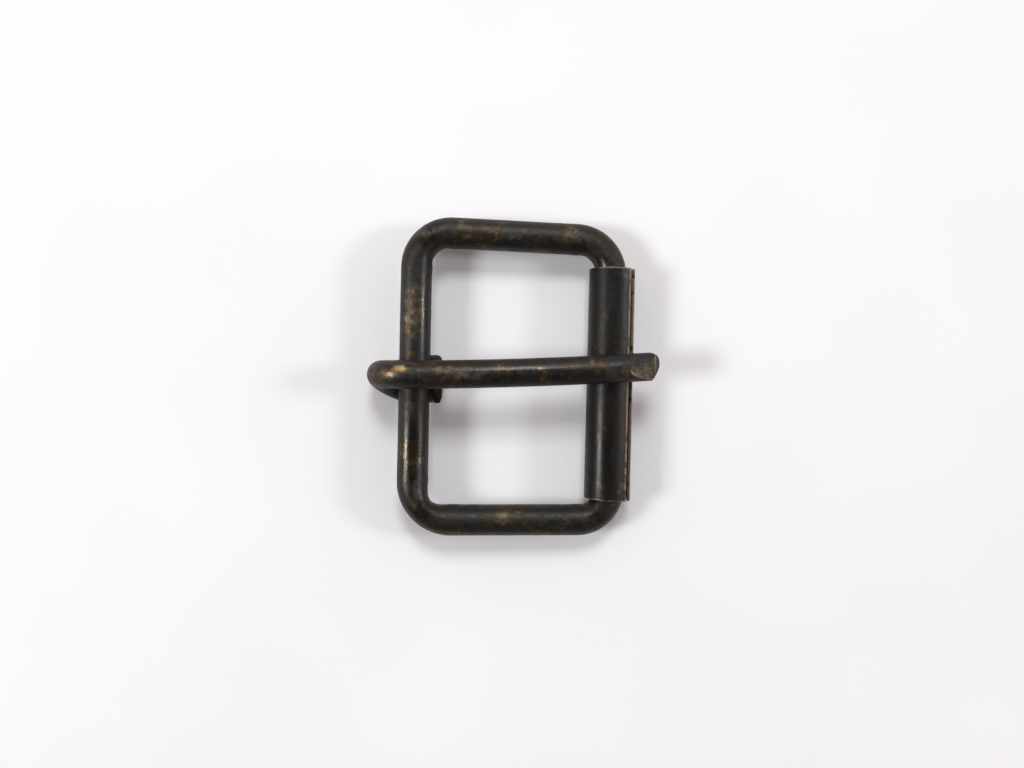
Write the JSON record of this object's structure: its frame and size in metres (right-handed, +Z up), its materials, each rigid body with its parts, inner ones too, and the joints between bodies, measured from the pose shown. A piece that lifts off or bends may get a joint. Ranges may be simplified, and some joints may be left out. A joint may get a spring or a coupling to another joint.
{
  "type": "roller buckle",
  "caption": "Roller buckle for a 25 mm strap: a bent wire frame, a rolled sleeve that turns on the outer bar, and a wire prong that swings on the heel bar.",
  "frame": {"origin": "on the surface the buckle lies on, below the middle of its bounding box", "axes": "+X from the heel bar to the roller, the way the prong points; +Y along both bars; +Z up, from the side that faces the wearer to the side that shows"},
  "size_m": [0.0286, 0.0314, 0.0077],
  "materials": {
    "frame_finish": "satin dark antique brass plating on steel wire",
    "sleeve_finish": "satin dark antique brass plating on rolled steel sheet",
    "prong_finish": "satin dark antique brass plating on steel wire, rubbed back to brass on top"
  },
  "bodies": {
    "frame": {"wire_frame": "frame_finish"},
    "roller": {"roller_sleeve": "sleeve_finish"},
    "prong": {"prong": "prong_finish"}
  },
  "joints": [
    {"name": "roller_spin", "type": "hinge", "parent": "frame", "child": "roller", "pos_m": [0.00994, 0, 0.00232], "axis": [0, 1, 0], "continuous": true},
    {"name": "prong_swing", "type": "hinge", "parent": "frame", "child": "prong", "pos_m": [-0.00964, 0, 0.00305], "axis": [0, -1, 0], "range_deg": [0, 335]}
  ]
}
